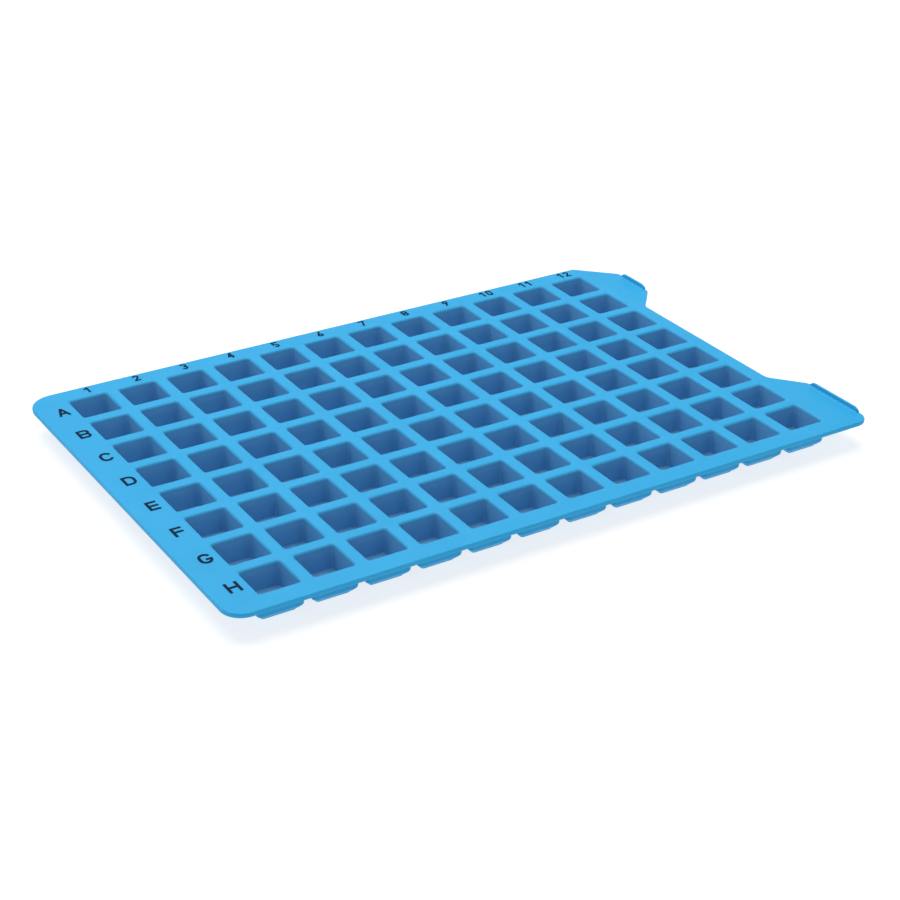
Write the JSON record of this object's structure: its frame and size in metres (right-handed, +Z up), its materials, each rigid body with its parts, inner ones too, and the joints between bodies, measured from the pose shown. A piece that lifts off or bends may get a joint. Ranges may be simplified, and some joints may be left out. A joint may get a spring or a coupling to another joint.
{
  "type": "well plate sealing mat",
  "caption": "Flexible silicone mat of hollow square plugs under a thin flange, with printed row letters and column numbers and two pull tabs, that seals a square-well plate.",
  "frame": {"origin": "centre of the whole mat's outline, on the face that the plugs' facings rest on", "axes": "+X along the rows from column 1 to column 12 and the pull tabs, +Y towards row A, +Z up out of the printed face"},
  "size_m": [0.1196, 0.0774, 0.0057],
  "materials": {
    "silicone": "satin moulded silicone",
    "facing_film": "smooth film",
    "ink": "matte printed ink"
  },
  "bodies": {
    "column_1": {"sheet_column_1": "silicone", "plugs_column_1": "silicone", "facings_column_1": "facing_film", "number_1": "ink", "letter_a": "ink", "letter_b": "ink", "letter_c": "ink", "letter_d": "ink", "letter_e": "ink", "letter_f": "ink", "letter_g": "ink", "letter_h": "ink"},
    "column_2": {"sheet_column_2": "silicone", "plugs_column_2": "silicone", "facings_column_2": "facing_film", "number_2": "ink"},
    "column_3": {"sheet_column_3": "silicone", "plugs_column_3": "silicone", "facings_column_3": "facing_film", "number_3": "ink"},
    "column_4": {"sheet_column_4": "silicone", "plugs_column_4": "silicone", "facings_column_4": "facing_film", "number_4": "ink"},
    "column_5": {"sheet_column_5": "silicone", "plugs_column_5": "silicone", "facings_column_5": "facing_film", "number_5": "ink"},
    "column_6": {"sheet_column_6": "silicone", "plugs_column_6": "silicone", "facings_column_6": "facing_film", "number_6": "ink"},
    "column_7": {"sheet_column_7": "silicone", "plugs_column_7": "silicone", "facings_column_7": "facing_film", "number_7": "ink"},
    "column_8": {"sheet_column_8": "silicone", "plugs_column_8": "silicone", "facings_column_8": "facing_film", "number_8": "ink"},
    "column_9": {"sheet_column_9": "silicone", "plugs_column_9": "silicone", "facings_column_9": "facing_film", "number_9": "ink"},
    "column_10": {"sheet_column_10": "silicone", "plugs_column_10": "silicone", "facings_column_10": "facing_film", "number_10": "ink"},
    "column_11": {"sheet_column_11": "silicone", "plugs_column_11": "silicone", "facings_column_11": "facing_film", "number_11": "ink"},
    "column_12": {"sheet_column_12": "silicone", "plugs_column_12": "silicone", "facings_column_12": "facing_film", "number_12": "ink"},
    "front_tab": {"front_pull_tab": "silicone", "front_grip_bead": "silicone"},
    "back_tab": {"back_pull_tab": "silicone", "back_grip_bead": "silicone"}
  },
  "joints": [
    {"name": "bend_1_2", "type": "hinge", "parent": "column_1", "child": "column_2", "pos_m": [-0.04553, 0, 0.0045], "axis": [0, -1, 0], "range_deg": [-15, 20], "stiffness_Nm_per_rad": 0.012},
    {"name": "bend_2_3", "type": "hinge", "parent": "column_2", "child": "column_3", "pos_m": [-0.03653, 0, 0.0045], "axis": [0, -1, 0], "range_deg": [-15, 20], "stiffness_Nm_per_rad": 0.012},
    {"name": "bend_3_4", "type": "hinge", "parent": "column_3", "child": "column_4", "pos_m": [-0.02753, 0, 0.0045], "axis": [0, -1, 0], "range_deg": [-15, 20], "stiffness_Nm_per_rad": 0.012},
    {"name": "bend_4_5", "type": "hinge", "parent": "column_4", "child": "column_5", "pos_m": [-0.01852, 0, 0.0045], "axis": [0, -1, 0], "range_deg": [-15, 20], "stiffness_Nm_per_rad": 0.012},
    {"name": "bend_5_6", "type": "hinge", "parent": "column_5", "child": "column_6", "pos_m": [-0.00953, 0, 0.0045], "axis": [0, -1, 0], "range_deg": [-15, 20], "stiffness_Nm_per_rad": 0.012},
    {"name": "bend_6_7", "type": "hinge", "parent": "column_6", "child": "column_7", "pos_m": [-0.00052, 0, 0.0045], "axis": [0, -1, 0], "range_deg": [-15, 20], "stiffness_Nm_per_rad": 0.012},
    {"name": "bend_7_8", "type": "hinge", "parent": "column_7", "child": "column_8", "pos_m": [0.00847, 0, 0.0045], "axis": [0, -1, 0], "range_deg": [-15, 20], "stiffness_Nm_per_rad": 0.012},
    {"name": "bend_8_9", "type": "hinge", "parent": "column_8", "child": "column_9", "pos_m": [0.01748, 0, 0.0045], "axis": [0, -1, 0], "range_deg": [-15, 20], "stiffness_Nm_per_rad": 0.012},
    {"name": "bend_9_10", "type": "hinge", "parent": "column_9", "child": "column_10", "pos_m": [0.02647, 0, 0.0045], "axis": [0, -1, 0], "range_deg": [-15, 20], "stiffness_Nm_per_rad": 0.012},
    {"name": "bend_10_11", "type": "hinge", "parent": "column_10", "child": "column_11", "pos_m": [0.03547, 0, 0.0045], "axis": [0, -1, 0], "range_deg": [-15, 20], "stiffness_Nm_per_rad": 0.012},
    {"name": "bend_11_12", "type": "hinge", "parent": "column_11", "child": "column_12", "pos_m": [0.04448, 0, 0.0045], "axis": [0, -1, 0], "range_deg": [-15, 20], "stiffness_Nm_per_rad": 0.012},
    {"name": "front_tab_bend", "type": "hinge", "parent": "column_12", "child": "front_tab", "pos_m": [0.05548, -0.028, 0.0045], "axis": [0, -1, 0], "range_deg": [-40, 75], "stiffness_Nm_per_rad": 0.002},
    {"name": "back_tab_bend", "type": "hinge", "parent": "column_12", "child": "back_tab", "pos_m": [0.05548, 0.028, 0.0045], "axis": [0, -1, 0], "range_deg": [-40, 75], "stiffness_Nm_per_rad": 0.002}
  ]
}
